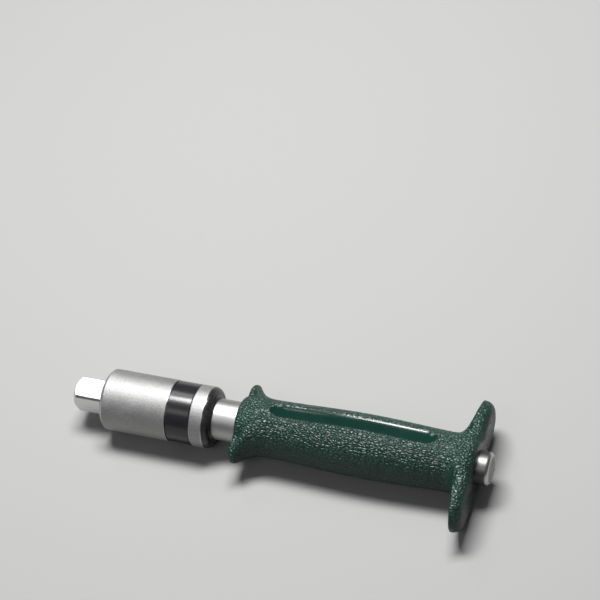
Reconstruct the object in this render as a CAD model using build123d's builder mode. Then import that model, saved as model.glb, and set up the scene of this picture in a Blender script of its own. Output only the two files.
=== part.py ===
"""Hand impact driver with a 1/2 inch square drive and a guarded rubber grip.

Frame: millimetres, +Z up, the tool lies along X with its drive towards -X.
The origin is under the middle of the tool, on the surface that it lies on.
Lengths along the tool are measured from the front rim of the barrel and
turned into X by place(), so that they can be read off the tool itself.
"""

import os
from math import cos, pi, radians, sin, sqrt, tan

from build123d import *

os.makedirs("parts", exist_ok=True)

# Fits
fit_gap = 0.05  # radial running gap, shaft in bore
seat_gap = 0.02  # radial gap of pressed and moulded pieces
cut_over = 1.0  # how far a cutter runs past a face

# Square drive
drive_side = 12.7
drive_length = 17.0
drive_corner = 0.9  # chamfer along the four long edges
drive_tip_radius = 6.0  # turned circle at the tip's flat face
drive_tip_angle = 50.0  # degrees, turned chamfer to the axis

# Barrel
barrel_radius = 15.0
barrel_length = 53.0
barrel_edge = 1.4
barrel_floor = 9.0  # solid metal behind the drive
shank_radius = 10.0
barrel_bore_radius = shank_radius + fit_gap
bore_mouth_chamfer = 0.5

# Cover band and its groove
band_to_mouth = 6.7  # band's rear edge to the rear face of the barrel
band_width = 11.8
band_depth = 1.5
band_line = 0.35  # dark hairline on each side of the band
band_sink = 0.1  # band below the barrel's surface
band_edge = 0.25

# Cross pin and cam
pin_radius = 3.0
stroke = 8.0  # how far a blow drives head and handle together
turn_angle = 30.0  # degrees that the head turns over the stroke
slot_steps = 12  # cutter places along each arm of the V
slot_gap = 0.1  # radial, pin in slot

# Dust seal in the barrel's mouth
seal_depth = 4.0  # inside the barrel
seal_seat_share = 0.52  # of the way from the shank out to the barrel's surface
seal_nose = 3.4  # outside the barrel
seal_nose_land = 0.8  # flat ring on the nose's rear face, outside the lip
seal_gap = 0.1  # to the shank
seal_lip = 0.5  # width and height of the lip round the shank

# Thrust washer and main spring
washer_thickness = 1.5
washer_gap = 0.3
washer_hole_radius = 3.0
spring_wire_radius = 0.9
spring_radius = 5.2  # to the middle of the wire
spring_turns = 7
spring_bore_radius = 6.4
spring_wall = 3.3  # metal between the spring's bore and the cam slot
spring_room = 1.0  # shank to washer when the head is fully in

# Friction ring on the shank
ring_wire_radius = 0.65
ring_from_front = 7.0  # shank's front face to the middle of the ring
ring_groove_play = 0.2

# Neck, shank and tail
neck_length = 12.0  # bare steel between seal and grip at rest
shank_edge = 0.8
tail_radius = 7.0
tail_shoulder_in = 7.6  # shoulder behind the front face of the grip
spigot_radius = 5.0
spigot_length = 7.3

# Grip
grip_length = 117.2
handle_radius = 15.3  # at its thickest place
handle_end_radius = 14.0
swell_from_grip_front = 61.6  # front face to the thickest place
swell_reach = 50.0  # from there to where the handle is thinnest
grip_flat_depth = 0.25  # slim flats above and below, on which the tool lies still
flange_half_length = 22.0
flange_half_height = 6.2
flange_hub_radius = 13.4
flange_to_widest = 2.0  # front face to the widest plane of the flange
flange_flare = 13.5  # widest plane to the plain handle
flange_round = 2.0
guard_half_length = 35.0
guard_half_height = 11.5
guard_hub_radius = 15.0
guard_to_widest = 5.3  # rear face to the widest plane of the guard
guard_flare = 10.7  # plain handle to the widest plane
guard_round = 4.9
guard_round_power = 2.2  # 2 is an ellipse, more is squarer
flange_round_power = 2.0
flange_blend = 2.0  # softness of the corner between hub and wing
guard_blend = 4.0
outline_count = 40  # points on one cross-section

# Flutes in the handle
flute_depth = 1.1
flute_cutter_radius = 6.0
flute_from_grip_front = 15.6
flute_length = 82.0
flute_point = 11.0  # length of each pointed end
flute_angle = 76.0  # degrees from +Y, on the upper side

# Liner, washer and rings inside the grip
core_radius = 11.0
core_rib_radius = 12.2
core_rib_width = 3.0
core_rib_count = 6
lock_pin_radius = 2.0
lock_pin_from_shoulder = 12.0
end_washer_thickness = 1.5
snap_thickness = 1.2
snap_depth = 0.6
snap_reach = 2.2  # how far the snap ring stands out of the tail
snap_opening = 3.0
snap_play = 0.1

# Strike cap
cap_radius = 8.0
cap_out = 6.0  # beyond the rear face of the grip
cap_seat_depth = 7.5  # cap's base inside the rear face of the grip
cap_edge = 2.0
cap_base_edge = 0.4
cap_to_snap = 1.2
cap_play = 0.25  # grip's hole round the cap

# Detent ball in the square
ball_radius = 2.4
ball_out = 0.8
ball_from_tip = 8.0
ball_hole_gap = 0.08
ball_lip = 0.35
ball_hole_depth = 9.2
detent_wire_radius = 0.25
detent_turns = 5

# Places along the tool, measured from the front rim of the barrel
washer_front = barrel_floor
washer_back = washer_front + washer_thickness
shank_front = washer_back + stroke + spring_room
band_from_rim = barrel_length - band_to_mouth - band_width
band_middle = band_from_rim + band_width / 2
spring_seat = band_middle - pin_radius - slot_gap - spring_wall
seal_front = barrel_length - seal_depth
nose_back = barrel_length + seal_nose
grip_front = nose_back + neck_length
grip_back = grip_front + grip_length
cap_back = grip_back + cap_out
shoulder = grip_front + tail_shoulder_in
tail_back = grip_back - cap_seat_depth
snap_back = tail_back - cap_to_snap - snap_play
snap_front = snap_back - snap_thickness
core_back = snap_front - snap_play - end_washer_thickness
core_length = core_back - shoulder
overall_length = drive_length + cap_back

# Where the tool's axis runs
rest_height = handle_radius - grip_flat_depth
axis_height = rest_height
rim_x = drive_length - overall_length / 2
tool_axis = Axis((0, 0, axis_height), (1, 0, 0))


def place(station):
    """X of a place measured from the barrel's front rim."""
    return rim_x + station


def side_plane(angle=90.0):
    """Plane through the axis: local x runs along the tool, local y outward at the angle."""
    turn = radians(angle)
    return Plane(origin=(0, 0, axis_height), x_dir=(1, 0, 0), z_dir=(0, -sin(turn), cos(turn)))


def cross_plane(station):
    """Plane across the tool: local x is +Y and local y is +Z."""
    return Plane(origin=(place(station), 0, axis_height), x_dir=(0, 1, 0), z_dir=(1, 0, 0))


def half_profile(stations_and_radii, plane=side_plane()):
    """Closed profile from (station, radius) pairs, ready to revolve about the tool's axis."""
    with BuildSketch(plane) as profile:
        with BuildLine():
            Polyline(*[(place(s), r) for s, r in stations_and_radii], close=True)
        make_face()
    return profile.sketch


def band_profile(front, back, inner, outer):
    """Plain rectangle for a turned ring."""
    return half_profile([(front, inner), (back, inner), (back, outer), (front, outer)])


# Barrel with square drive
groove_floor_radius = barrel_radius - band_depth
seal_radius = shank_radius + seal_seat_share * (barrel_radius - shank_radius)
groove_front = band_from_rim - band_line
groove_back = band_from_rim + band_width + band_line
drive_corner_radius = drive_side / sqrt(2)
tip_cone_length = (drive_corner_radius - drive_tip_radius) / tan(radians(drive_tip_angle))
ball_hole_radius = ball_radius + ball_hole_gap
ball_station = ball_from_tip - drive_length
ball_depth = ball_radius - ball_out  # ball's centre below the face
lip_hole_radius = (ball_hole_radius + sqrt(ball_radius**2 - ball_depth**2)) / 2
ball_plane = Plane(
    origin=(place(ball_station), drive_side / 2, axis_height), x_dir=(1, 0, 0), z_dir=(0, 1, 0)
)

with BuildPart() as barrel:
    with BuildSketch(cross_plane(barrel_floor / 2)):
        Rectangle(drive_side, drive_side)
        chamfer(vertices(), drive_corner)
    extrude(amount=-(drive_length + barrel_floor / 2))
    revolve(
        half_profile(
            [
                (-drive_length, 0),
                (-drive_length, drive_tip_radius),
                (tip_cone_length - drive_length, drive_corner_radius),
                (barrel_floor, drive_corner_radius),
                (barrel_floor, 0),
            ]
        ),
        axis=tool_axis,
        mode=Mode.INTERSECT,
    )
    revolve(
        half_profile(
            [
                (0, 0),
                (0, barrel_radius - barrel_edge),
                (barrel_edge, barrel_radius),
                (groove_front, barrel_radius),
                (groove_front, groove_floor_radius),
                (groove_back, groove_floor_radius),
                (groove_back, barrel_radius),
                (barrel_length, barrel_radius),
                (barrel_length, seal_radius),
                (seal_front, seal_radius),
                (seal_front, barrel_bore_radius + bore_mouth_chamfer),
                (seal_front - bore_mouth_chamfer, barrel_bore_radius),
                (barrel_floor, barrel_bore_radius),
                (barrel_floor, 0),
            ]
        ),
        axis=tool_axis,
    )
    rim_edges = barrel.edges().filter_by(GeomType.CIRCLE).sort_by(SortBy.RADIUS)
    rounded = [e for e in rim_edges if abs(e.center().X - place(barrel_edge)) < barrel_edge / 2]
    fillet(rounded, barrel_edge / 2)
    with Locations(Plane(origin=(place(band_middle), 0, axis_height), z_dir=(0, 1, 0))):
        Cylinder(pin_radius + seat_gap, 2 * barrel_radius, mode=Mode.SUBTRACT)
    with Locations(ball_plane):
        Cylinder(
            lip_hole_radius,
            2 * ball_lip,
            mode=Mode.SUBTRACT,
        )
    with Locations(ball_plane.offset(-ball_lip)):
        Cylinder(
            ball_hole_radius,
            ball_hole_depth - ball_lip,
            align=(Align.CENTER, Align.CENTER, Align.MAX),
            mode=Mode.SUBTRACT,
        )
barrel.part.label = "barrel"
export_step(barrel.part, "parts/barrel.step")

# Detent ball and its spring
detent_seat = drive_side / 2 - ball_hole_depth
ball_inner = drive_side / 2 - ball_depth - ball_radius
detent_spring_length = ball_inner - detent_seat
detent_coil_radius = ball_hole_radius - ball_hole_gap - detent_wire_radius
detent_helix_height = detent_spring_length - 2 * detent_wire_radius

with BuildPart() as detent_ball:
    with Locations(ball_plane.offset(-ball_depth)):
        Sphere(ball_radius)
detent_ball.part.label = "detent_ball"
export_step(detent_ball.part, "parts/detent_ball.step")

with BuildPart() as detent_spring:
    with BuildLine():
        detent_helix = Helix(
            detent_helix_height / detent_turns,
            detent_helix_height,
            detent_coil_radius,
            center=(place(ball_station), detent_seat + detent_wire_radius, axis_height),
            direction=(0, 1, 0),
        )
    with BuildSketch(Plane(origin=detent_helix @ 0, z_dir=detent_helix % 0)):
        Circle(detent_wire_radius)
    sweep()
detent_spring.part.label = "detent_spring"
export_step(detent_spring.part, "parts/detent_spring.step")

# Cross pin, its flat ends just under the inside of the band
cross_pin_reach = sqrt(groove_floor_radius**2 - pin_radius**2)

with BuildPart() as cross_pin:
    with Locations(Plane(origin=(place(band_middle), 0, axis_height), z_dir=(0, 1, 0))):
        Cylinder(pin_radius, 2 * cross_pin_reach)
    chamfer(cross_pin.edges().filter_by(GeomType.CIRCLE), band_edge)
cross_pin.part.label = "cross_pin"
export_step(cross_pin.part, "parts/cross_pin.step")

# Cover band
band_radius = barrel_radius - band_sink

with BuildPart() as cover_band:
    revolve(
        band_profile(
            band_from_rim, band_from_rim + band_width, groove_floor_radius + seat_gap, band_radius
        ),
        axis=tool_axis,
    )
    outer_edges = [
        e for e in cover_band.edges().filter_by(GeomType.CIRCLE) if e.radius > band_radius - band_edge
    ]
    chamfer(outer_edges, band_edge)
cover_band.part.label = "cover_band"
export_step(cover_band.part, "parts/cover_band.step")

# Dust seal
seal_bore_radius = shank_radius + seal_gap
seal_nose_radius = seal_bore_radius + 2 * seal_lip + seal_nose_land
nose_round = seal_nose - seal_lip

with BuildPart() as dust_seal:
    with BuildSketch(side_plane()):
        with BuildLine():
            nose_start = (place(barrel_length), barrel_radius - band_sink)
            nose_end = (place(barrel_length + nose_round), seal_nose_radius)
            Polyline(
                (place(barrel_length), barrel_radius - band_sink),
                (place(barrel_length), seal_radius - seat_gap),
                (place(seal_front), seal_radius - seat_gap),
                (place(seal_front), seal_bore_radius + seal_lip),
                (place(barrel_length), seal_bore_radius + seal_lip),
                (place(barrel_length), seal_bore_radius),
                (place(nose_back), seal_bore_radius),
                (place(nose_back), seal_bore_radius + seal_lip),
                (place(barrel_length + nose_round), seal_bore_radius + 2 * seal_lip),
                (place(barrel_length + nose_round), seal_nose_radius),
            )
            RadiusArc(nose_start, nose_end, nose_round + seal_lip)
        make_face()
    revolve(axis=tool_axis)
dust_seal.part.label = "dust_seal"
export_step(dust_seal.part, "parts/dust_seal.step")

# Thrust washer
with BuildPart() as thrust_washer:
    revolve(
        band_profile(
            washer_front, washer_back, washer_hole_radius, barrel_bore_radius - washer_gap
        ),
        axis=tool_axis,
    )
thrust_washer.part.label = "thrust_washer"
export_step(thrust_washer.part, "parts/thrust_washer.step")

# Main spring
spring_height = spring_seat - washer_back - 2 * spring_wire_radius

with BuildPart() as main_spring:
    with BuildLine():
        helix = Helix(
            spring_height / spring_turns,
            spring_height,
            spring_radius,
            center=(place(washer_back + spring_wire_radius), 0, axis_height),
            direction=(1, 0, 0),
        )
    with BuildSketch(Plane(origin=helix @ 0, z_dir=helix % 0)):
        Circle(spring_wire_radius)
    sweep()
main_spring.part.label = "main_spring"
export_step(main_spring.part, "parts/main_spring.step")

# Cam shank with the V slots for the cross pin
ring_station = shank_front + ring_from_front
ring_groove_half = ring_wire_radius + ring_groove_play / 2
ring_groove_radius = shank_radius - 2 * ring_wire_radius
snap_groove_radius = tail_radius - snap_depth
lock_station = shoulder + lock_pin_from_shoulder
slot_radius = pin_radius + slot_gap

with BuildPart() as cam_shank:
    revolve(
        half_profile(
            [
                (spring_seat, 0),
                (spring_seat, spring_bore_radius),
                (shank_front, spring_bore_radius),
                (shank_front, shank_radius - shank_edge),
                (shank_front + shank_edge, shank_radius),
                (ring_station - ring_groove_half, shank_radius),
                (ring_station - ring_groove_half, ring_groove_radius),
                (ring_station + ring_groove_half, ring_groove_radius),
                (ring_station + ring_groove_half, shank_radius),
                (shoulder, shank_radius),
                (shoulder, tail_radius),
                (snap_front - snap_play, tail_radius),
                (snap_front - snap_play, snap_groove_radius),
                (snap_back + snap_play, snap_groove_radius),
                (snap_back + snap_play, tail_radius),
                (tail_back, tail_radius),
                (tail_back, spigot_radius),
                (tail_back + spigot_length, spigot_radius),
                (tail_back + spigot_length, 0),
            ]
        ),
        axis=tool_axis,
    )
    for arm in (-1, 1):
        for step in range(slot_steps + 1):
            share = step / slot_steps
            lean = radians(arm * turn_angle * share)
            with Locations(
                Plane(
                    origin=(place(band_middle + stroke * share), 0, axis_height),
                    z_dir=(0, cos(lean), sin(lean)),
                )
            ):
                Cylinder(slot_radius, 2 * barrel_radius, mode=Mode.SUBTRACT)
    with Locations(Plane(origin=(place(lock_station), 0, axis_height), z_dir=(0, 1, 0))):
        Cylinder(lock_pin_radius + seat_gap, 2 * shank_radius, mode=Mode.SUBTRACT)
cam_shank.part.label = "cam_shank"
export_step(cam_shank.part, "parts/cam_shank.step")

# Friction ring
with BuildPart() as friction_ring:
    with BuildSketch(side_plane()):
        with Locations((place(ring_station), ring_groove_radius + ring_wire_radius)):
            Circle(ring_wire_radius)
    revolve(axis=tool_axis)
friction_ring.part.label = "friction_ring"
export_step(friction_ring.part, "parts/friction_ring.step")

# Liner between shank and rubber
core_bore_radius = tail_radius + seat_gap
rib_pitch = core_length / core_rib_count

with BuildPart() as grip_core:
    revolve(band_profile(shoulder, core_back, core_bore_radius, core_radius), axis=tool_axis)
    for rib in range(core_rib_count):
        rib_middle = shoulder + rib_pitch * (rib + 0.5)
        revolve(
            band_profile(
                rib_middle - core_rib_width / 2,
                rib_middle + core_rib_width / 2,
                core_bore_radius,
                core_rib_radius,
            ),
            axis=tool_axis,
        )
    with Locations(Plane(origin=(place(lock_station), 0, axis_height), z_dir=(0, 1, 0))):
        Cylinder(lock_pin_radius + seat_gap, 2 * shank_radius + core_radius, mode=Mode.SUBTRACT)
grip_core.part.label = "grip_core"
export_step(grip_core.part, "parts/grip_core.step")

# Lock pin
lock_pin_reach = sqrt(core_radius**2 - lock_pin_radius**2)

with BuildPart() as lock_pin:
    with Locations(Plane(origin=(place(lock_station), 0, axis_height), z_dir=(0, 1, 0))):
        Cylinder(lock_pin_radius, 2 * lock_pin_reach)
lock_pin.part.label = "lock_pin"
export_step(lock_pin.part, "parts/lock_pin.step")

# Washer behind the liner
with BuildPart() as end_washer:
    revolve(
        band_profile(
            core_back,
            core_back + end_washer_thickness,
            core_bore_radius,
            core_radius - seat_gap,
        ),
        axis=tool_axis,
    )
end_washer.part.label = "end_washer"
export_step(end_washer.part, "parts/end_washer.step")

# Snap ring in the tail's groove
with BuildPart() as retaining_ring:
    revolve(
        band_profile(
            snap_front, snap_back, snap_groove_radius + seat_gap, tail_radius + snap_reach
        ),
        axis=tool_axis,
    )
    with Locations((place(snap_front), 0, axis_height)):
        Box(
            2 * snap_thickness + cut_over,
            snap_opening,
            tail_radius + snap_reach + cut_over,
            align=(Align.CENTER, Align.CENTER, Align.MIN),
            mode=Mode.SUBTRACT,
        )
retaining_ring.part.label = "retaining_ring"
export_step(retaining_ring.part, "parts/retaining_ring.step")

# Strike cap
with BuildPart() as strike_cap:
    revolve(
        half_profile(
            [
                (tail_back, spigot_radius + seat_gap),
                (tail_back, cap_radius - cap_base_edge),
                (tail_back + cap_base_edge, cap_radius),
                (cap_back, cap_radius),
                (cap_back, 0),
                (tail_back + spigot_length + seat_gap, 0),
                (tail_back + spigot_length + seat_gap, spigot_radius + seat_gap),
            ]
        ),
        axis=tool_axis,
    )
    strike_edge = strike_cap.edges().filter_by(GeomType.CIRCLE).group_by(Axis.X)[-1]
    fillet(strike_edge, cap_edge)
strike_cap.part.label = "strike_cap"
export_step(strike_cap.part, "parts/strike_cap.step")

# Rubber grip: cross-sections are a round hub blended with two rounded wings.
# Shares of the flare's length, and of the growth from handle to widest section.
guard_growth_shares = (
    (0.0, 0.0),
    (0.15, 0.001),
    (0.3, 0.0085),
    (0.45, 0.035),
    (0.58, 0.097),
    (0.69, 0.213),
    (0.78, 0.389),
    (0.86, 0.629),
    (0.93, 0.864),
    (1.0, 1.0),
)
flange_growth_shares = (
    (0.0, 1.0),
    (0.07, 0.95),
    (0.15, 0.8),
    (0.25, 0.58),
    (0.37, 0.36),
    (0.52, 0.17),
    (0.72, 0.05),
    (1.0, 0.0),
)
handle_shares = (0.03, 0.08, 0.15, 0.25, 0.35, 0.45, 0.55, 0.65, 0.75, 0.85, 0.92, 0.97)
front_round_shares = (0.96, 0.85, 0.6, 0.3)  # the first lies in the front face
rear_round_shares = (0.25, 0.48, 0.68, 0.84, 0.96)  # the last lies in the rear face
even_parameters = [step / outline_count for step in range(outline_count + 1)]


def mix(start, end, share):
    """Value between start and end."""
    return start + (end - start) * share


def rounded_in(depth, share, power):
    """How far a rounded edge has drawn in at a share of its way to the end face."""
    return depth * (1 - sqrt(1 - share**power))


def handle_radius_at(station):
    """Radius of the plain handle, which swells gently in the middle."""
    away = min(abs(station - grip_front - swell_from_grip_front) / swell_reach, 1)
    return mix(handle_end_radius, handle_radius, cos(away * pi / 2) ** 2)


def wing_reach(half_length, half_height, turn):
    """Distance from the axis to a slot-shaped outline, in the direction of the turn."""
    side = abs(sin(turn))
    along = abs(cos(turn))
    centre = half_length - half_height
    if side * centre > half_height * along:
        return half_height / side
    return centre * along + sqrt(half_height**2 - (centre * side) ** 2)


def flattened(reach, flat_height, turn):
    """The reach, cut short by a flat above and a flat below."""
    side = abs(sin(turn))
    if side * reach > flat_height:
        return flat_height / side
    return reach


def blended(first, second, blend):
    """The larger of two values, rounded off where they are closer than the blend."""
    overlap = max(blend - abs(first - second), 0)
    if overlap == 0:
        return max(first, second)
    return max(first, second) + overlap**2 / (4 * blend)


def grip_section(station, half_length, half_height, hub_radius, flat_height, blend):
    """Closed outline across the tool, the wings along Y."""
    points = []
    for step in range(outline_count):
        turn = 2 * pi * step / outline_count
        reach = blended(hub_radius, wing_reach(half_length, half_height, turn), blend)
        reach = flattened(reach, flat_height, turn)
        points.append((reach * cos(turn), reach * sin(turn)))
    with BuildSketch(cross_plane(station)) as outline:
        with BuildLine():
            add(Edge.make_spline(points, periodic=True, parameters=even_parameters))
        make_face()
    return outline.sketch


def flange_section(station, growth, inset):
    """Section of the front flange, from plain handle (growth 0) to widest (growth 1)."""
    plain = handle_radius_at(station)
    return grip_section(
        station,
        mix(plain, flange_half_length, growth) - inset,
        mix(plain, flange_half_height, growth) - inset / 2,
        mix(plain, flange_hub_radius, growth) - inset,
        rest_height,
        mix(0, flange_blend, growth),
    )


def guard_section(station, growth, inset):
    """Section of the rear guard, from plain handle (growth 0) to widest (growth 1)."""
    plain = handle_radius_at(station)
    return grip_section(
        station,
        mix(plain, guard_half_length, growth) - inset,
        mix(plain, guard_half_height, growth) - inset,
        mix(plain, guard_hub_radius, growth) - inset,
        rest_height - inset,
        mix(0, guard_blend, growth),
    )


flange_widest = grip_front + flange_to_widest
flange_end = flange_widest + flange_flare
guard_widest = grip_back - guard_to_widest
guard_start = guard_widest - guard_flare

grip_sections = []
for share in front_round_shares:
    station = mix(flange_widest, grip_front, share / front_round_shares[0])
    inset = rounded_in(flange_round, share, flange_round_power)
    grip_sections.append(flange_section(station, 1, inset))
for share, growth in flange_growth_shares:
    grip_sections.append(flange_section(flange_widest + flange_flare * share, growth, 0))
for share in handle_shares:
    grip_sections.append(guard_section(mix(flange_end, guard_start, share), 0, 0))
for share, growth in guard_growth_shares:
    grip_sections.append(guard_section(guard_start + guard_flare * share, growth, 0))
for share in rear_round_shares:
    station = mix(guard_widest, grip_back, share / rear_round_shares[-1])
    inset = rounded_in(guard_round, share, guard_round_power)
    grip_sections.append(guard_section(station, 1, inset))

# Flute cutter: a slim revolved shape whose underside follows the handle's swell
flute_from_axis = handle_radius + flute_cutter_radius - flute_depth
flute_front = grip_front + flute_from_grip_front + flute_point
flute_back = grip_front + flute_from_grip_front + flute_length - flute_point
flute_middle = (flute_front + flute_back) / 2
flute_floor = []
for station in (flute_front, flute_middle, flute_back):
    flute_floor.append((place(station), handle_radius_at(station) - flute_depth))
flute_bend = (flute_point**2 + flute_depth**2) / (2 * flute_depth)
flute_rise = flute_from_axis - flute_floor[0][1]
flute_run = sqrt(2 * flute_bend * flute_rise - flute_rise**2)

with BuildPart() as grip:
    loft(grip_sections)
    for angle in (flute_angle, flute_angle + 180):
        flute_plane = side_plane(angle)
        with BuildSketch(flute_plane) as flute_profile:
            with BuildLine():
                front_point = (place(flute_front - flute_run), flute_from_axis)
                back_point = (place(flute_back + flute_run), flute_from_axis)
                floor = ThreePointArc(*flute_floor)
                TangentArc(floor @ 0, front_point, tangent=-(floor % 0))
                TangentArc(floor @ 1, back_point, tangent=floor % 1)
                Line(back_point, front_point)
            make_face()
        revolve(
            flute_profile.sketch,
            axis=Axis(flute_plane.from_local_coords((0, flute_from_axis, 0)), (1, 0, 0)),
            mode=Mode.SUBTRACT,
        )
    bore_profile = [
        (grip_front - cut_over, 0),
        (grip_front - cut_over, shank_radius + seat_gap),
        (shoulder, shank_radius + seat_gap),
        (shoulder, core_radius + seat_gap),
    ]
    for rib in range(core_rib_count):
        rib_middle = shoulder + rib_pitch * (rib + 0.5)
        rib_start = rib_middle - core_rib_width / 2 - seat_gap
        rib_end = rib_middle + core_rib_width / 2 + seat_gap
        bore_profile.append((rib_start, core_radius + seat_gap))
        bore_profile.append((rib_start, core_rib_radius + seat_gap))
        bore_profile.append((rib_end, core_rib_radius + seat_gap))
        bore_profile.append((rib_end, core_radius + seat_gap))
    bore_profile.append((tail_back, core_radius + seat_gap))
    bore_profile.append((tail_back, cap_radius + cap_play))
    bore_profile.append((grip_back + cut_over, cap_radius + cap_play))
    bore_profile.append((grip_back + cut_over, 0))
    revolve(half_profile(bore_profile), axis=tool_axis, mode=Mode.SUBTRACT)
grip.part.label = "grip"
export_step(grip.part, "parts/grip.step")
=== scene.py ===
"""Looks of the hand impact driver: the moulded grip, the steel, the floor, light and camera."""

from math import pi, radians

import bpy
from mathutils import Matrix, Vector


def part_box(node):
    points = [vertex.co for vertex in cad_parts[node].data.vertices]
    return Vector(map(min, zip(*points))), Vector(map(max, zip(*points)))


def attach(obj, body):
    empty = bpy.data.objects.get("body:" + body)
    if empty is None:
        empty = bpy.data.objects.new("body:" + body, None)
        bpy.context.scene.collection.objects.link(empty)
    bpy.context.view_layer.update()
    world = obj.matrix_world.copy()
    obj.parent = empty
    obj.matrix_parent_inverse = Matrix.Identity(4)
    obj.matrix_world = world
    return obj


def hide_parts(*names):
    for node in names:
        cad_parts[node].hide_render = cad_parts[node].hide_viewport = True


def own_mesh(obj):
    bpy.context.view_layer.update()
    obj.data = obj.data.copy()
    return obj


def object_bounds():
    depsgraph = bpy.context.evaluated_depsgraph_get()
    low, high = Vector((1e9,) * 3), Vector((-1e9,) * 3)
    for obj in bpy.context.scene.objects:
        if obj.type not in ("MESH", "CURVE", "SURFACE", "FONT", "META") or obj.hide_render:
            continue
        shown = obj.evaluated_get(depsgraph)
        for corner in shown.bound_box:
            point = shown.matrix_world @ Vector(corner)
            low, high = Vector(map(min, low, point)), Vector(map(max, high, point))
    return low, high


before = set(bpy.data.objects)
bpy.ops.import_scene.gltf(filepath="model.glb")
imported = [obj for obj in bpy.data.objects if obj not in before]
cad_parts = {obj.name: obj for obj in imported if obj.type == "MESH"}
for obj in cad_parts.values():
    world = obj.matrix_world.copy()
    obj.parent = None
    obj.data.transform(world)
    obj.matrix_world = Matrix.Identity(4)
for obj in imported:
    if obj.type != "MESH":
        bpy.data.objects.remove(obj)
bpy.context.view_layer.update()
MM = 0.001
PER_METRE = 1 / MM

# Head, in millimetres. Stations along the tool count from the front rim of the barrel.
drive_length = 17.0
barrel_length = 53.0
band_to_mouth = 6.7  # band's rear edge to the rear face of the barrel
band_width = 11.8
band_line = 0.35  # dark hairline on each side of the band
seal_nose = 3.4  # outside the barrel
neck_length = 12.0

# Grip
grip_length = 117.2
handle_radius = 15.3  # at its thickest place
handle_end_radius = 14.0
swell_from_grip_front = 61.6
swell_reach = 50.0
grip_flat_depth = 0.25
flange_half_length = 22.0
flange_half_height = 6.2
flange_hub_radius = 13.4
flange_to_widest = 2.0
flange_flare = 13.5
flange_round = 2.0
flange_blend = 2.0
guard_half_length = 35.0
guard_half_height = 11.5
guard_hub_radius = 15.0
guard_to_widest = 5.3
guard_flare = 10.7
guard_round = 4.9
guard_round_power = 2.2  # 2 is an ellipse, more is squarer
guard_blend = 4.0
neck_bore = 10.02  # radius round the neck
core_bore = 11.02  # radius round the liner
shoulder_in = 7.6  # where the bore widens, from the front face
cap_hole = 8.25  # radius round the strike cap
cap_seat_depth = 7.5
cap_out = 6.0  # strike cap beyond the rear face

# Flutes, wider and deeper than the solid's, with shorter points
flute_depth = 1.35
flute_cutter_radius = 12.0
flute_from_grip_front = 15.6
flute_length = 82.0
flute_point = 6.0
flute_angle = 79.0  # degrees from +Y
flute_edge_round = 0.3
no_flute = 1000.0  # distance from the axis where no flute cuts

# Leather grain
grain_depth = 0.12  # creases below the pebbles' tops
pebble_size = 1.4
pebble_share = 0.7  # less than 1 draws the pebbles longer along the tool
pebble_slope = 0.4  # from crease to top, as a share of the pebble
drift_size = 1.92  # of the noise that pulls the pebbles out of line
drift_reach = 0.5
wrinkle_size = 1.8  # of the noise that runs wrinkles across the pebbles
wrinkle_width = 0.06
wrinkle_floor = 0.45  # what a wrinkle leaves of a pebble's height

# Skin of the grip and wire of the springs, as meshes
weld_reach = 0.004  # points of the skin closer than this become one
sharp_edge = radians(50)  # edges sharper than this aren't smoothed
least_blend = 0.001  # above zero, because values are divided by it
least_sine = 0.00001  # above zero, for the same reason
points_per_turn = 40
points_round_wire = 14

# Springs. The radius of a coil goes to the middle of the wire.
spring_front = 10.5
spring_seat = 34.0
spring_coil_radius = 5.2
spring_wire_radius = 0.9
spring_turns = 7.0
ball_station = -9.0
detent_seat = -2.85
detent_length = 5.2
detent_coil_radius = 2.15
detent_wire_radius = 0.25
detent_turns = 5.0

band_from_rim = barrel_length - band_to_mouth - band_width
seal_back = barrel_length + seal_nose
grip_front = seal_back + neck_length
grip_back = grip_front + grip_length
cap_back = grip_back + cap_out

barrel_low, barrel_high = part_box("barrel")
rim_x = barrel_low.x + drive_length * MM
axis_z = (barrel_low.z + barrel_high.z) / 2


def find_socket(sockets, name):
    """A socket by its identifier, or else by its name or number."""
    found = [socket for socket in sockets if socket.identifier == name]
    return found[0] if found else sockets[name]


def set_curve(mapping, places):
    """Puts the points of a curve node at the places, which run from left to right."""
    points = mapping.curves[0].points
    points[0].location = places[0]
    points[len(points) - 1].location = places[-1]
    for share, height in places[1:-1]:
        points.new(share, height)
    mapping.update()


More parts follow.
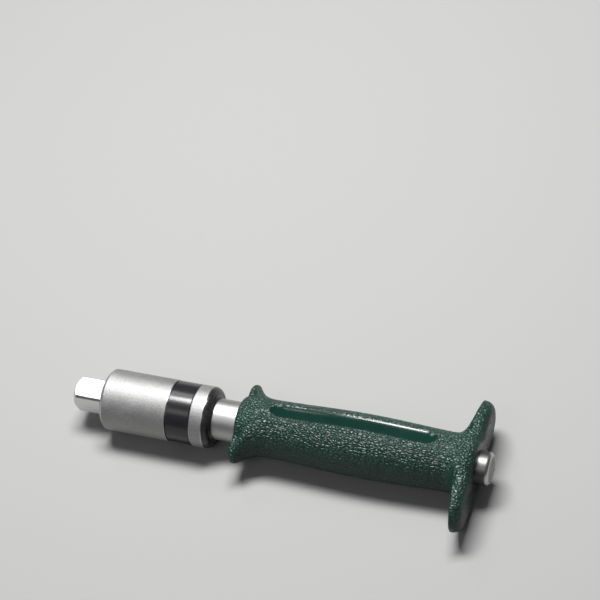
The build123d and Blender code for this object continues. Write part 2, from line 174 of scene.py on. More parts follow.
class Wire:
    """An output of a node that adds, multiplies and compares as a number does."""

    def __init__(self, tree, socket):
        self.tree = tree
        self.socket = socket

    @classmethod
    def node(cls, tree, kind, settings=None, sockets=None, out=0):
        """Any node: its type, its settings first, then the values or links of its sockets."""
        made = tree.nodes.new(kind)
        for name, value in (settings or {}).items():
            if name == "curve":
                set_curve(made.mapping, value)
            else:
                setattr(made, name, value)
        for name, value in (sockets or {}).items():
            socket = find_socket(made.inputs, name)
            if isinstance(value, Wire):
                tree.links.new(value.socket, socket)
            else:
                socket.default_value = value
        return cls(tree, find_socket(made.outputs, out))

    def maths(self, operation, *values):
        sockets = {place: value for place, value in enumerate(values)}
        return Wire.node(self.tree, "ShaderNodeMath", {"operation": operation}, sockets)

    def __add__(self, other):
        return self.maths("ADD", self, other)

    def __radd__(self, other):
        return self.maths("ADD", other, self)

    def __sub__(self, other):
        return self.maths("SUBTRACT", self, other)

    def __rsub__(self, other):
        return self.maths("SUBTRACT", other, self)

    def __mul__(self, other):
        return self.maths("MULTIPLY", self, other)

    def __rmul__(self, other):
        return self.maths("MULTIPLY", other, self)

    def __truediv__(self, other):
        return self.maths("DIVIDE", self, other)

    def __pow__(self, other):
        return self.maths("POWER", self, other)

    def __neg__(self):
        return self.maths("MULTIPLY", self, -1.0)

    def __abs__(self):
        return self.maths("ABSOLUTE", self)

    def __gt__(self, other):
        return self.maths("GREATER_THAN", self, other)

    def __lt__(self, other):
        return self.maths("LESS_THAN", self, other)

    def least(self, other):
        return self.maths("MINIMUM", self, other)

    def most(self, other):
        return self.maths("MAXIMUM", self, other)

    def root(self):
        return self.maths("SQRT", self.most(0.0))

    def sine(self):
        return self.maths("SINE", self)

    def cosine(self):
        return self.maths("COSINE", self)

    def ramp(self, start, end, low=0.0, high=1.0, soft=False):
        """Runs from low at start to high at end and stays there outside."""
        kind = "SMOOTHSTEP" if soft else "LINEAR"
        sockets = {"Value": self, "From Min": start, "From Max": end, "To Min": low, "To Max": high}
        return Wire.node(self.tree, "ShaderNodeMapRange", {"interpolation_type": kind}, sockets)

    def near(self, place, reach):
        """One at the place, falling softly to zero at the reach."""
        return abs(self - place).ramp(0.0, reach, 1.0, 0.0, soft=True)


def larger_softly(first, second, blend):
    """The larger of two values, rounded off where they are closer than the blend."""
    overlap = (blend - abs(first - second)).most(0.0)
    return first.most(second) + overlap * overlap / (4.0 * blend)


def smaller_softly(first, second, blend):
    """The smaller of two values, rounded off where they are closer than the blend."""
    overlap = (blend - abs(first - second)).most(0.0)
    return first.least(second) - overlap * overlap / (4.0 * blend)


def mix_values(first, second, share):
    return first + (second - first) * share


def split_place(tree, place):
    """The three parts of a place."""
    parts = Wire.node(tree, "ShaderNodeSeparateXYZ", sockets={0: place}).socket.node
    return [Wire(tree, parts.outputs[axis]) for axis in range(3)]


# Patterns and finishes


class Pattern:
    """Patterns at a place, for a material or for the tree that shapes a piece."""

    def __init__(self, tree, place):
        self.tree = tree
        self.place = place

    def node(self, kind, settings=None, sockets=None, out=0):
        return Wire.node(self.tree, kind, settings, sockets, out)

    def noise(self, size_mm, detail=3.0, rough=0.5, place=None, distortion=0.0, out="Fac"):
        sockets = {
            "Vector": place or self.place,
            "Scale": PER_METRE / size_mm,
            "Detail": detail,
            "Roughness": rough,
            "Distortion": distortion,
        }
        return self.node("ShaderNodeTexNoise", sockets=sockets, out=out)

    def cells(self, size_mm, feature="F1", place=None):
        sockets = {"Vector": place or self.place, "Scale": PER_METRE / size_mm}
        return self.node("ShaderNodeTexVoronoi", {"feature": feature}, sockets, out="Distance")

    def stretched(self, along, across):
        """The place, squeezed so that a pattern is longer one way."""
        sockets = {0: self.place, 1: (along, across, across)}
        return self.node("ShaderNodeVectorMath", {"operation": "MULTIPLY"}, sockets)

    def leather(self):
        """Pebbles of the moulded grain: one on their tops, zero in the creases between them."""
        drift = self.noise(drift_size, 2.0, out="Color")
        pull = self.node(
            "ShaderNodeVectorMath", {"operation": "SCALE"}, {0: drift, "Scale": drift_reach * MM}
        )
        longer = self.stretched(pebble_share, 1.0)
        place = self.node("ShaderNodeVectorMath", {"operation": "ADD"}, {0: longer, 1: pull})
        dome = self.cells(pebble_size, "DISTANCE_TO_EDGE", place).ramp(0.0, pebble_slope)
        dome = (dome * (2.0 - dome)).most(0.0)
        away = abs(self.noise(wrinkle_size, 1.0, 0.5, place) - 0.5)
        wrinkle = away.ramp(0.0, wrinkle_width, soft=True)
        return dome * wrinkle.ramp(0.0, 1.0, wrinkle_floor, 1.0)


class Finish(Pattern):
    """One material: the place on the tool, patterns there, and the shader they feed."""

    def __init__(self, name, **constants):
        self.material = bpy.data.materials.new(name)
        self.material.use_nodes = True
        tree = self.material.node_tree
        super().__init__(tree, Wire.node(tree, "ShaderNodeTexCoord", out="Object"))
        self.shader = tree.nodes["Principled BSDF"]
        for socket, value in constants.items():
            self.shader.inputs[socket.replace("_", " ")].default_value = value
        along, across, up = split_place(tree, self.place)
        self.station = (along - rim_x) * PER_METRE
        self.side = across * PER_METRE
        self.height = (up - axis_z) * PER_METRE

    def from_axis(self):
        return (self.side * self.side + self.height * self.height).root()

    def turned_place(self, along, outward):
        """Place made of station and distance from the axis, for lines left by turning."""
        sockets = {0: self.station * (along * MM), 1: self.from_axis() * (outward * MM), 2: 0.0}
        return self.node("ShaderNodeCombineXYZ", sockets=sockets)

    def colours(self, first, second, share):
        sockets = {"Factor_Float": share, "A_Color": first, "B_Color": second}
        for name in ("A_Color", "B_Color"):
            if not isinstance(sockets[name], Wire):
                sockets[name] = (*sockets[name], 1.0)
        return self.node("ShaderNodeMix", {"data_type": "RGBA"}, sockets, out="Result_Color")

    def relief(self, height, depth_mm, strength=1.0):
        sockets = {"Height": height, "Distance": depth_mm * MM, "Strength": strength}
        return self.node("ShaderNodeBump", sockets=sockets)

    def feed(self, **links):
        for socket, value in links.items():
            self.tree.links.new(value.socket, self.shader.inputs[socket.replace("_", " ")])
        return self.material


def moulded_rubber():
    """Dark green rubber with a leather grain, smooth and glossy in the flutes, with painted shade
    darkening its creases and flutes.
    """
    skin = Finish("moulded_rubber", Metallic=0.0, IOR=1.45)
    grain = skin.node("ShaderNodeAttribute", {"attribute_name": "grain"}, out="Fac")
    pebble = skin.leather()
    skin_height = (pebble + skin.noise(3.2, 2.0) * 0.3) * grain
    pores = skin.noise(0.3, 2.0) * 0.05
    cloud = skin.noise(19.0, 4.0, 0.6)
    dust = skin.noise(5.5, 5.0, 0.65).ramp(0.55, 0.8, soft=True)
    # Painted shade: the crease colour is the rubber darkened as if shaded.
    crease = skin.colours((0.0006, 0.008, 0.005), (0.0014, 0.012, 0.008), cloud)
    top = skin.colours((0.004, 0.033, 0.022), (0.007, 0.046, 0.032), cloud.ramp(0.3, 0.7))
    # Painted shade in the creases between the pebbles; the flutes are set 0.36 of the way from the
    # crease shade to the tops' colour.
    colour = skin.colours(crease, top, mix_values(0.36, pebble.ramp(0.0, 0.7), grain))
    colour = skin.colours(colour, (0.09, 0.16, 0.13), dust * pebble * 0.12)
    gloss = mix_values(0.13, 0.38 - pebble * 0.07, grain)
    gloss = gloss + (cloud - 0.5) * 0.08 + dust * 0.05
    normal = skin.relief(skin_height + pores * grain, 0.24, 1.0)
    return skin.feed(Base_Color=colour, Roughness=gloss, Normal=normal)


def barrel_chrome():
    """Blasted satin chrome on the barrel, mirror bright on the square drive."""
    steel = Finish("barrel_chrome", Metallic=1.0)
    polished = steel.station.ramp(-0.35, -0.1, 1.0, 0.0)
    edge = steel.station.near(0.9, 0.9) + steel.station.near(barrel_length, 0.7)
    for place in (band_from_rim - band_line, band_from_rim + band_width + band_line):
        edge = edge + steel.station.near(place, band_line)
    edge = (edge * steel.from_axis().ramp(12.5, 13.6)).least(1.0)
    blast = steel.cells(0.36) * 0.6 + steel.noise(0.6, 3.0, 0.75) * 0.8
    smudge = steel.noise(16.0, 5.0, 0.62, distortion=0.6)
    grind = steel.noise(0.35, 3.0, 0.6, steel.stretched(0.12, 1.0))
    scratch = steel.noise(0.9, 2.0, 0.5, steel.stretched(1.0, 0.09)).ramp(0.66, 0.72)
    satin = 0.56 + smudge.ramp(0.3, 0.7, -0.04, 0.05) + (blast - 0.6) * 0.06
    satin = mix_values(satin, 0.2, edge * 0.8) - scratch * 0.05
    mirror = 0.19 + grind.ramp(0.4, 0.7, 0.0, 0.06) + smudge.ramp(0.5, 0.8, 0.0, 0.05)
    gloss = mix_values(satin, mirror, polished)
    plain = steel.colours((0.37, 0.37, 0.365), (0.46, 0.46, 0.455), smudge.ramp(0.3, 0.72))
    plain = steel.colours(plain, (0.2, 0.2, 0.2), blast.ramp(0.55, 0.95, 0.55, 0.0))
    bright = steel.colours((0.56, 0.56, 0.56), (0.66, 0.66, 0.66), smudge)
    colour = steel.colours(plain, bright, polished.most(edge * 0.7))
    soot = steel.noise(7.0, 4.0, 0.7).ramp(0.62, 0.8, soft=True) * 0.16
    colour = steel.colours(colour, (0.3, 0.29, 0.27), soot * (1.0 - polished))
    height = mix_values(blast * (1.0 - edge * 0.7), grind * 0.12, polished)
    normal = steel.relief(height, 0.14, 0.9)
    return steel.feed(Base_Color=colour, Roughness=gloss, Normal=normal)


def polished_steel(name, gloss, bright, lines):
    """Polished steel with faint turning lines and hairline scratches."""
    steel = Finish(name, Metallic=1.0)
    smudge = steel.noise(11.0, 5.0, 0.6, distortion=0.8)
    turned = steel.noise(1.0, 3.0, 0.55, steel.turned_place(2.6, 2.6))
    hair = steel.noise(0.7, 2.0, 0.5, steel.stretched(0.07, 1.0)).ramp(0.62, 0.7)
    rough = gloss + smudge.ramp(0.35, 0.75, 0.0, 0.07) + turned.ramp(0.3, 0.7, -0.015, 0.025)
    rough = rough + hair * 0.04
    dark = tuple(share * 0.88 for share in bright)
    colour = steel.colours(dark, bright, smudge.ramp(0.3, 0.7))
    normal = steel.relief(turned * lines + hair * 0.12, 0.012, 0.6)
    return steel.feed(Base_Color=colour, Roughness=rough, Normal=normal)


def strike_steel():
    """Polished button with a bright rounded edge and small marks on its face, with painted shade on
    its side and a painted dark reflection on its face.
    """
    steel = Finish("strike_steel", Metallic=1.0)
    face = steel.station.ramp(cap_back - 0.6, cap_back - 0.1) * steel.from_axis().ramp(6.4, 6.0)
    side = steel.station.ramp(cap_back - 1.1, cap_back - 1.7)
    smudge = steel.noise(8.0, 5.0, 0.6, distortion=0.8)
    rings = steel.noise(1.0, 3.0, 0.55, steel.turned_place(0.3, 3.4))
    dents = steel.cells(2.3).ramp(0.08, 0.34, soft=True)
    rough = 0.22 + smudge.ramp(0.35, 0.75, 0.0, 0.08) + face * 0.1
    rough = rough + rings.ramp(0.3, 0.7, 0.0, 0.03) + side * 0.16
    edge = steel.colours((0.42, 0.42, 0.41), (0.56, 0.56, 0.55), smudge)
    # Painted dark reflection on the end face, much darker than the steel of the edge.
    dark_face_reflection = steel.colours((0.12, 0.125, 0.12), (0.19, 0.195, 0.19), smudge.ramp(0.3, 0.7))
    colour = steel.colours(edge, dark_face_reflection, face)
    # Painted shade on the cap's side.
    colour = steel.colours(colour, (0.1, 0.1, 0.097), side * 0.85)
    height = rings * 0.1 + (dents * 0.5 + smudge * 0.4) * face
    return steel.feed(Base_Color=colour, Roughness=rough, Normal=steel.relief(height, 0.05, 0.7))


def greased_steel(name, low, high):
    """Turned and hardened steel inside the tool, with a film of grease."""
    steel = Finish(name, Metallic=1.0, Coat_IOR=1.45, Coat_Roughness=0.15)
    turned = steel.noise(1.0, 4.0, 0.6, steel.turned_place(4.0, 4.0))
    film = steel.noise(5.0, 4.0, 0.6).ramp(0.4, 0.7, soft=True)
    colour = steel.colours(low, high, turned)
    colour = steel.colours(colour, (0.2, 0.16, 0.09), film * 0.35)
    rough = 0.26 + turned * 0.14
    normal = steel.relief(turned, 0.02, 0.5)
    return steel.feed(Base_Color=colour, Roughness=rough, Coat_Weight=film * 0.7, Normal=normal)


def band_black():
    """Glossy black band with faint ripple, dust and fine scratches round it."""
    gloss = Finish("band_black", Metallic=0.0, IOR=1.52)
    ripple = gloss.noise(3.2, 2.0)
    dust = gloss.cells(1.7).ramp(0.1, 0.02) * gloss.noise(9.0, 2.0).ramp(0.5, 0.62)
    round_lines = gloss.noise(1.0, 3.0, 0.6, gloss.turned_place(5.0, 0.4)).ramp(0.56, 0.7)
    colour = gloss.colours((0.008, 0.008, 0.009), (0.017, 0.017, 0.019), ripple)
    colour = gloss.colours(colour, (0.12, 0.12, 0.12), dust * 0.5 + round_lines * 0.05)
    worn = gloss.noise(14.0, 4.0).ramp(0.4, 0.8, 0.0, 0.08)
    rough = 0.2 + round_lines * 0.08 + dust * 0.3 + worn
    normal = gloss.relief(ripple * 0.6 + round_lines * 0.1, 0.02, 0.5)
    return gloss.feed(Base_Color=colour, Roughness=rough, Normal=normal)


def seal_rubber():
    """Smooth black seal, a little dusty, with fine moulding lines round it."""
    skin = Finish("seal_rubber", Metallic=0.0, IOR=1.5)
    lines = skin.noise(1.0, 3.0, 0.6, skin.turned_place(3.5, 3.5))
    bloom = skin.noise(4.0, 5.0, 0.65).ramp(0.45, 0.8, soft=True)
    fine = skin.noise(0.25, 3.0, 0.6)
    colour = skin.colours((0.011, 0.0115, 0.0115), (0.018, 0.019, 0.019), fine)
    colour = skin.colours(colour, (0.05, 0.052, 0.05), bloom * 0.25)
    rough = 0.27 + bloom * 0.12 + (lines - 0.5) * 0.06
    normal = skin.relief(lines * 0.5 + fine * 0.2, 0.008, 0.6)
    return skin.feed(Base_Color=colour, Roughness=rough, Normal=normal)


def liner_nylon():
    """Glass filled nylon of the liner inside the grip."""
    nylon = Finish("liner_nylon", Metallic=0.0, IOR=1.53)
    fibre = nylon.noise(0.5, 4.0, 0.6, nylon.stretched(0.2, 1.0))
    cloud = nylon.noise(8.0, 3.0)
    colour = nylon.colours((0.03, 0.03, 0.034), (0.075, 0.075, 0.08), fibre)
    colour = nylon.colours(colour, (0.02, 0.02, 0.022), cloud.ramp(0.5, 0.8))
    normal = nylon.relief(fibre, 0.03, 0.5)
    return nylon.feed(Base_Color=colour, Roughness=0.48 + fibre * 0.15, Normal=normal)


rubber = moulded_rubber()
neck_steel = polished_steel("neck_steel", 0.42, (0.46, 0.46, 0.455), 0.2)
ball_steel = polished_steel("ball_steel", 0.05, (0.82, 0.82, 0.82), 0.02)
spring_wire = greased_steel("spring_wire", (0.2, 0.2, 0.205), (0.34, 0.34, 0.345))
inner_steel = greased_steel("inner_steel", (0.34, 0.34, 0.345), (0.5, 0.5, 0.505))

finishes = {
    "barrel": barrel_chrome(),
    "detent_ball": ball_steel,
    "detent_spring": spring_wire,
    "cross_pin": inner_steel,
    "cover_band": band_black(),
    "dust_seal": seal_rubber(),
    "thrust_washer": inner_steel,
    "main_spring": spring_wire,
    "cam_shank": neck_steel,
    "friction_ring": seal_rubber(),
    "grip_core": liner_nylon(),
    "lock_pin": inner_steel,
    "end_washer": inner_steel,
    "retaining_ring": spring_wire,
    "strike_cap": strike_steel(),
    "grip": rubber,
}
for node_name, material in finishes.items():
    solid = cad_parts[node_name]
    for slot in solid.material_slots:
        slot.material = material


# Moulded grip. The curves give the share of a flare and how far it has grown there.

guard_growth = (
    (0.0, 0.0),
    (0.15, 0.001),
    (0.3, 0.0085),
    (0.45, 0.035),
    (0.58, 0.097),
    (0.69, 0.213),
    (0.78, 0.389),
    (0.86, 0.629),
    (0.93, 0.864),
    (1.0, 1.0),
)
flange_growth = (
    (0.0, 1.0),
    (0.07, 0.95),
    (0.15, 0.8),
    (0.25, 0.58),
    (0.37, 0.36),
    (0.52, 0.17),
    (0.72, 0.05),
    (1.0, 0.0),
)

# Rows of the skin, counted along one loop through the grip's outside and its bore
grip_zones = (
    ("front_face", 7),
    ("front_round", 12),
    ("outside", 276),
    ("rear_round", 22),
    ("rear_face", 9),
    ("cap_hole", 3),
    ("cap_step", 1),
    ("bore", 2),
    ("shoulder", 1),
    ("neck_hole", 3),
)
rows_around = 284

grip_sizes = {
    "Front": rim_x / MM + grip_front,
    "Length": grip_length,
    "Axis height": axis_z / MM,
    "Thick radius": handle_radius,
    "End radius": handle_end_radius,
    "Flat height": handle_radius - grip_flat_depth,
    "Flange half length": flange_half_length,
    "Flange half height": flange_half_height,
    "Flange hub radius": flange_hub_radius,
    "Guard half length": guard_half_length,
    "Guard half height": guard_half_height,
    "Guard hub radius": guard_hub_radius,
    "Flute depth": flute_depth,
    "Flute angle": radians(flute_angle),
    "Grain depth": grain_depth,
}


def shape_tree(name, size_names):
    """An empty tree with an input for each size and one for the material."""
    tree = bpy.data.node_groups.new(name, "GeometryNodeTree")
    tree.is_modifier = True
    for size_name in size_names:
        tree.interface.new_socket(name=size_name, in_out="INPUT", socket_type="NodeSocketFloat")
    tree.interface.new_socket(name="Material", in_out="INPUT", socket_type="NodeSocketMaterial")
    tree.interface.new_socket(name="Geometry", in_out="OUTPUT", socket_type="NodeSocketGeometry")
    entry = tree.nodes.new("NodeGroupInput")
    return tree, {socket.name: Wire(tree, socket) for socket in entry.outputs if socket.name}


def close_tree(tree, geometry, material):
    """Smooth faces, real geometry and the material at the end of a tree."""
    smooth = Wire.node(tree, "GeometryNodeSetShadeSmooth", sockets={"Geometry": geometry})
    real = Wire.node(tree, "GeometryNodeRealizeInstances", sockets={"Geometry": smooth})
    sockets = {"Geometry": real, "Material": material}
    done = Wire.node(tree, "GeometryNodeSetMaterial", sockets=sockets)
    leave = tree.nodes.new("NodeGroupOutput")
    tree.links.new(done.socket, leave.inputs[0])


def grown_piece(name, tree, inputs):
    """Runs a tree once and keeps its result as a plain mesh."""
    holder = bpy.data.objects.new(name + "_holder", bpy.data.meshes.new(name + "_holder"))
    bpy.context.scene.collection.objects.link(holder)
    modifier = holder.modifiers.new("Shape", "NODES")
    modifier.node_group = tree
    for socket in tree.interface.items_tree:
        if socket.item_type == "SOCKET" and socket.in_out == "INPUT":
            modifier[socket.identifier] = inputs[socket.name]
    bpy.context.view_layer.update()
    ready = holder.evaluated_get(bpy.context.evaluated_depsgraph_get())
    mesh = bpy.data.meshes.new_from_object(ready)
    mesh.name = name
    bpy.data.objects.remove(holder)
    piece = bpy.data.objects.new(name, mesh)
    bpy.context.scene.collection.objects.link(piece)
    return piece


def loop_shares(row):
    """How far a row has come through each zone of the loop, from 0 to 1."""
    share = {}
    first = 0
    for name, count in grip_zones:
        share[name] = row.ramp(float(first), float(first + count))
        first += count
    return share


def loop_station(share, length):
    """Station of a row from the grip's front face."""
    front_bend = (1.0 - share["front_round"]) * (pi / 2)
    rear_bend = share["rear_round"] * (pi / 2)
    widest_rear = length - guard_to_widest
    bore_end = length - cap_seat_depth
    station = flange_to_widest - front_bend.sine() * flange_to_widest
    station = station + share["outside"] * (widest_rear - flange_to_widest)
    station = station + rear_bend.sine() * guard_to_widest
    station = station - share["cap_hole"] * cap_seat_depth
    station = station - share["bore"] * (bore_end - shoulder_in)
    return station - share["neck_hole"] * shoulder_in


def loop_inset(share):
    """How far a row lies inside the outline, where the two ends are rounded."""
    front_bend = (1.0 - share["front_round"]) * (pi / 2)
    rear_bend = share["rear_round"] * (pi / 2)
    inset = (1.0 - front_bend.cosine()) * flange_round
    return inset + (1.0 - (1.0 - rear_bend.sine() ** guard_round_power).root()) * guard_round


def bore_radius(share):
    """Radius of the bore: round the cap, then the liner, then the neck."""
    radius = neck_bore + share["outside"] * (cap_hole - neck_bore)
    radius = radius + share["cap_step"] * (core_bore - cap_hole)
    return radius + share["shoulder"] * (neck_bore - core_bore)


def plain_radius(size, station):
    """Radius of the handle without flange, guard and flutes."""
    away = (abs(station - swell_from_grip_front) / swell_reach).least(1.0)
    swell = (away * (pi / 2)).cosine() ** 2.0
    return mix_values(size["End radius"], size["Thick radius"], swell)


def handle_outline(tree, size, station, inset, turn, plain):
    """Distance from the axis to the outline of handle, flange and guard."""
    length = size["Length"]
    flange_share = station.ramp(flange_to_widest, flange_to_widest + flange_flare)
    guard_start = length - guard_to_widest - guard_flare
    guard_share = ((station - guard_start) / guard_flare).most(0.0).least(1.0)
    front_half = station < length / 2.0
    rear_half = 1.0 - front_half
    flange = tree_curve(tree, flange_growth, flange_share) * front_half
    guard = tree_curve(tree, guard_growth, guard_share) * rear_half

    def grown(flange_size, guard_size, flange_inset):
        value = plain + (flange_size - plain) * flange + (guard_size - plain) * guard
        return value - inset * (front_half * flange_inset + rear_half)

    half_length = grown(size["Flange half length"], size["Guard half length"], 1.0)
    half_height = grown(size["Flange half height"], size["Guard half height"], 0.5)
    hub_radius = grown(size["Flange hub radius"], size["Guard hub radius"], 1.0)
    flat = size["Flat height"] - inset * rear_half

    side = abs(turn.sine()).most(least_sine)
    along = abs(turn.cosine())
    centre = half_length - half_height
    on_flat = (side * centre) > (half_height * along)
    rounded = centre * along + (half_height * half_height - (centre * side) ** 2.0).root()
    wing = mix_values(rounded, half_height / side, on_flat)
    blend = least_blend + flange * flange_blend + guard * guard_blend
    return larger_softly(hub_radius, wing, blend).least(flat / side)


def flute_cut(size, station, turn, plain):
    """Distance from the axis to the floor of two flutes with pointed ends."""
    flute_front = flute_from_grip_front + flute_point
    flute_back = flute_from_grip_front + flute_length - flute_point
    bend = (flute_point**2 + flute_depth**2) / (2 * flute_depth)
    before = (flute_front - station).most(0.0)
    behind = (station - flute_back).most(0.0)
    floor = plain - size["Flute depth"] + (before * before + behind * behind) / (2 * bend)
    centre_out = size["Thick radius"] + (flute_cutter_radius - flute_depth)
    reach = centre_out - floor
    off_line = (turn - size["Flute angle"]).sine() * centre_out
    ahead = abs((turn - size["Flute angle"]).cosine() * centre_out)
    room = reach * reach - off_line * off_line
    return mix_values(no_flute, ahead - room.root(), room > 0.0)


def tree_curve(tree, points, value):
    """The height of a curve at a value from 0 to 1."""
    return Wire.node(tree, "ShaderNodeFloatCurve", {"curve": points}, {"Value": value})


def sunk_creases(tree, geometry, depth):
    """Geometry with the creases of the leather grain sunk into it."""
    place = Wire.node(tree, "GeometryNodeInputPosition")
    grain = Wire.node(
        tree, "GeometryNodeInputNamedAttribute", {"data_type": "FLOAT"}, {"Name": "grain"}
    )
    crease = (1.0 - Pattern(tree, place).leather()) * grain * depth * MM
    outward = Wire.node(tree, "GeometryNodeInputNormal")
    inward = Wire.node(
        tree, "ShaderNodeVectorMath", {"operation": "SCALE"}, {0: outward, "Scale": -crease}
    )
    sockets = {"Geometry": geometry, "Offset": inward}
    return Wire.node(tree, "GeometryNodeSetPosition", sockets=sockets)


def grip_tree(sizes):
    """The grip's skin: a grid bent into a loop, outside and bore in one closed surface."""
    tree, size = shape_tree("moulded_grip", sizes)
    total = sum(count for _, count in grip_zones)
    counts = {"Vertices X": rows_around + 1, "Vertices Y": total + 1}
    grid = Wire.node(tree, "GeometryNodeMeshGrid", sockets={"Size X": 1.0, "Size Y": 1.0, **counts})
    around, through = split_place(tree, Wire.node(tree, "GeometryNodeInputPosition"))[:2]
    turn = (around + 0.5) * (2 * pi)
    share = loop_shares((through + 0.5) * float(total))
    station = loop_station(share, size["Length"])
    plain = plain_radius(size, station)
    outline = handle_outline(tree, size, station, loop_inset(share), turn, plain)
    cut = flute_cut(size, station, turn, plain)
    fluted = smaller_softly(outline, cut, flute_edge_round)
    fill = share["front_face"] - share["rear_face"]
    radius = mix_values(bore_radius(share), fluted, fill)

    # The leather grain ends at the flutes' edges and on the rear face round the cap
    in_flute = (outline - cut).ramp(-0.05, 0.12)
    on_face = station.ramp(grip_length - 1.2, grip_length - 0.4)
    round_cap = radius.ramp(cap_hole + 4.5, cap_hole + 3.0)
    grain = (1.0 - in_flute) * (1.0 - on_face * round_cap) * fill

    spot = Wire.node(
        tree,
        "ShaderNodeCombineXYZ",
        sockets={
            0: (station + size["Front"]) * MM,
            1: radius * turn.cosine() * MM,
            2: (radius * turn.sine() + size["Axis height"]) * MM,
        },
    )
    marked = Wire.node(
        tree,
        "GeometryNodeStoreNamedAttribute",
        {"data_type": "FLOAT", "domain": "POINT"},
        {"Geometry": grid, "Name": "grain", "Value": grain},
    )
    moved = Wire.node(
        tree, "GeometryNodeSetPosition", sockets={"Geometry": marked, "Position": spot}
    )
    welded = Wire.node(
        tree,
        "GeometryNodeMergeByDistance",
        sockets={"Geometry": moved, "Distance": weld_reach * MM},
    )
    close_tree(tree, sunk_creases(tree, welded, size["Grain depth"]), size["Material"])
    return tree


grip_skin = grown_piece("grip_skin", grip_tree(grip_sizes), {**grip_sizes, "Material": rubber})
grip_skin.data.set_sharp_from_angle(angle=sharp_edge)
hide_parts("grip")
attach(grip_skin, "handle")


# Wound springs


def coil_tree(sizes):
    """Round wire wound at an even pitch, along the tool or across it."""
    tree, size = shape_tree("wound_spring", sizes)
    line = Wire.node(
        tree,
        "GeometryNodeCurveSpiral",
        sockets={
            "Resolution": points_per_turn,
            "Rotations": size["Turns"],
            "Start Radius": size["Coil radius"],
            "End Radius": size["Coil radius"],
            "Height": size["Length"] - size["Wire radius"] * 2.0,
        },
    )
    section = Wire.node(
        tree,
        "GeometryNodeCurvePrimitiveCircle",
        {"mode": "RADIUS"},
        {"Resolution": points_round_wire, "Radius": size["Wire radius"]},
    )
    wire = Wire.node(
        tree,
        "GeometryNodeCurveToMesh",
        sockets={"Curve": line, "Profile Curve": section, "Fill Caps": True},
    )
    first, second, wound = split_place(tree, Wire.node(tree, "GeometryNodeInputPosition"))
    wound = wound + size["Wire radius"] + size["Start"]
    across = size["Across"]
    spot = Wire.node(
        tree,
        "ShaderNodeCombineXYZ",
        sockets={
            0: mix_values(wound, second + size["Middle"], across) * MM,
            1: mix_values(first + size["Middle"], wound, across) * MM,
            2: (mix_values(second, first, across) + size["Height"]) * MM,
        },
    )
    moved = Wire.node(tree, "GeometryNodeSetPosition", sockets={"Geometry": wire, "Position": spot})
    close_tree(tree, moved, size["Material"])
    return tree


main_coil_sizes = {
    "Start": rim_x / MM + spring_front,
    "Middle": 0.0,
    "Height": axis_z / MM,
    "Length": spring_seat - spring_front,
    "Turns": spring_turns,
    "Coil radius": spring_coil_radius,
    "Wire radius": spring_wire_radius,
    "Across": 0.0,
}
detent_coil_sizes = {
    "Start": detent_seat,
    "Middle": rim_x / MM + ball_station,
    "Height": axis_z / MM,
    "Length": detent_length,
    "Turns": detent_turns,
    "Coil radius": detent_coil_radius,
    "Wire radius": detent_wire_radius,
    "Across": 1.0,
}
wound_spring = coil_tree(main_coil_sizes)
main_coil = grown_piece("main_coil", wound_spring, {**main_coil_sizes, "Material": spring_wire})
detent_coil = grown_piece(
    "detent_coil", wound_spring, {**detent_coil_sizes, "Material": spring_wire}
)
for coil, solid_name, body in (
    (main_coil, "main_spring", "handle"),
    (detent_coil, "detent_spring", "head"),
):
    coil.data.set_sharp_from_angle(angle=sharp_edge)
    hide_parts(solid_name)
    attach(coil, body)
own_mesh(main_coil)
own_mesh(detent_coil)


# Floor, light and camera

floor_half = 3.0  # metres
floor_colour = (0.29, 0.29, 0.286, 1.0)
floor_roughness = 0.75
sky_colour = (0.95, 0.97, 1.0, 1.0)
sky_strength = 0.12

# Each box: where it is and what it faces, in metres, then its width, height and watts
soft_boxes = {
    "top_light": ((-0.12, 0.3, 0.98), (0.0, 0.0, 0.0), 0.6, 0.26, 21.0),
    "back_light": ((-0.47, 0.62, 0.82), (-0.1, 0.0, 0.0), 0.17, 0.24, 0.75),
    "front_light": ((-0.1, -0.62, 0.85), (0.0, 0.0, 0.0), 0.7, 0.3, 1.3),
}

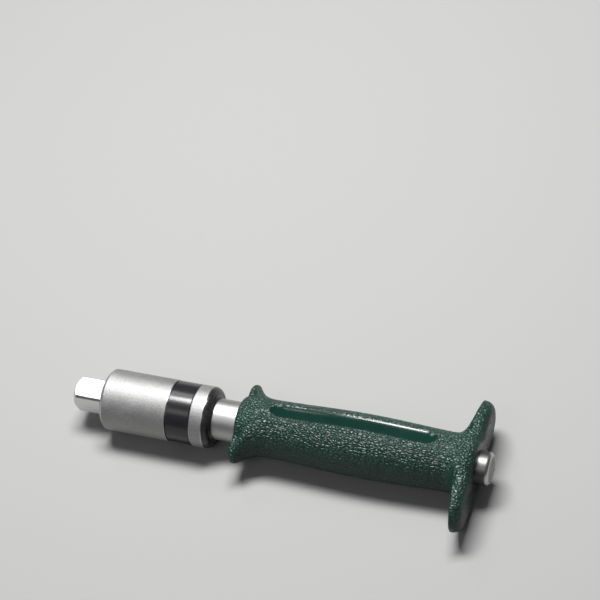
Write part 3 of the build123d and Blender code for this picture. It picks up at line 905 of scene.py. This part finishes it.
# The photograph's camera as the tool sees it: its directions, and its place from the rim
to_right = Vector((0.9435, 0.3012, -0.1383)).normalized()
to_front = Vector((-0.2917, 0.5567, -0.7778)).normalized()
camera_from_rim = Vector((378.8, -506.0, 814.6))
sensor_width = 36.0
focal_length = 126.2
nearest_seen = 0.01  # metres


def plain_floor():
    """A pale floor under the tool, for the pictures only."""
    material = bpy.data.materials.new("pale_floor")
    material.use_nodes = True
    shader = material.node_tree.nodes["Principled BSDF"]
    shader.inputs["Base Color"].default_value = floor_colour
    shader.inputs["Roughness"].default_value = floor_roughness
    mesh = bpy.data.meshes.new("floor")
    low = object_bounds()[0][2]
    corners = [
        (-floor_half, -floor_half, low),
        (floor_half, -floor_half, low),
        (floor_half, floor_half, low),
        (-floor_half, floor_half, low),
    ]
    mesh.from_pydata(corners, [], [(0, 1, 2, 3)])
    mesh.materials.append(material)
    floor = bpy.data.objects.new("floor", mesh)
    bpy.context.scene.collection.objects.link(floor)


def soft_box(name, place, aim, width, height, power):
    """A rectangular light that faces a point."""
    lamp = bpy.data.lights.new(name, "AREA")
    lamp.shape = "RECTANGLE"
    lamp.size = width
    lamp.size_y = height
    lamp.energy = power
    holder = bpy.data.objects.new(name, lamp)
    holder.location = place
    holder.rotation_euler = (Vector(aim) - Vector(place)).to_track_quat("-Z", "Y").to_euler()
    bpy.context.scene.collection.objects.link(holder)


def studio_camera():
    """The camera that sees the tool as the photograph does."""
    lens = bpy.data.cameras.new("camera")
    lens.sensor_width = sensor_width
    lens.lens = focal_length
    lens.clip_start = nearest_seen
    camera = bpy.data.objects.new("camera", lens)
    to_top = to_right.cross(to_front).normalized()
    turned = Matrix((to_right, to_top, -to_front)).transposed()
    place = camera_from_rim * MM + Vector((rim_x, 0.0, axis_z))
    camera.matrix_world = Matrix.Translation(place) @ turned.to_4x4()
    bpy.context.scene.collection.objects.link(camera)
    return camera


plain_floor()
for box_name, box in soft_boxes.items():
    soft_box(box_name, *box)
world = bpy.data.worlds.new("studio")
world.use_nodes = True
world.node_tree.nodes["Background"].inputs["Color"].default_value = sky_colour
world.node_tree.nodes["Background"].inputs["Strength"].default_value = sky_strength
bpy.context.scene.world = world
bpy.context.scene.view_settings.view_transform = "Standard"
bpy.context.scene.camera = studio_camera()
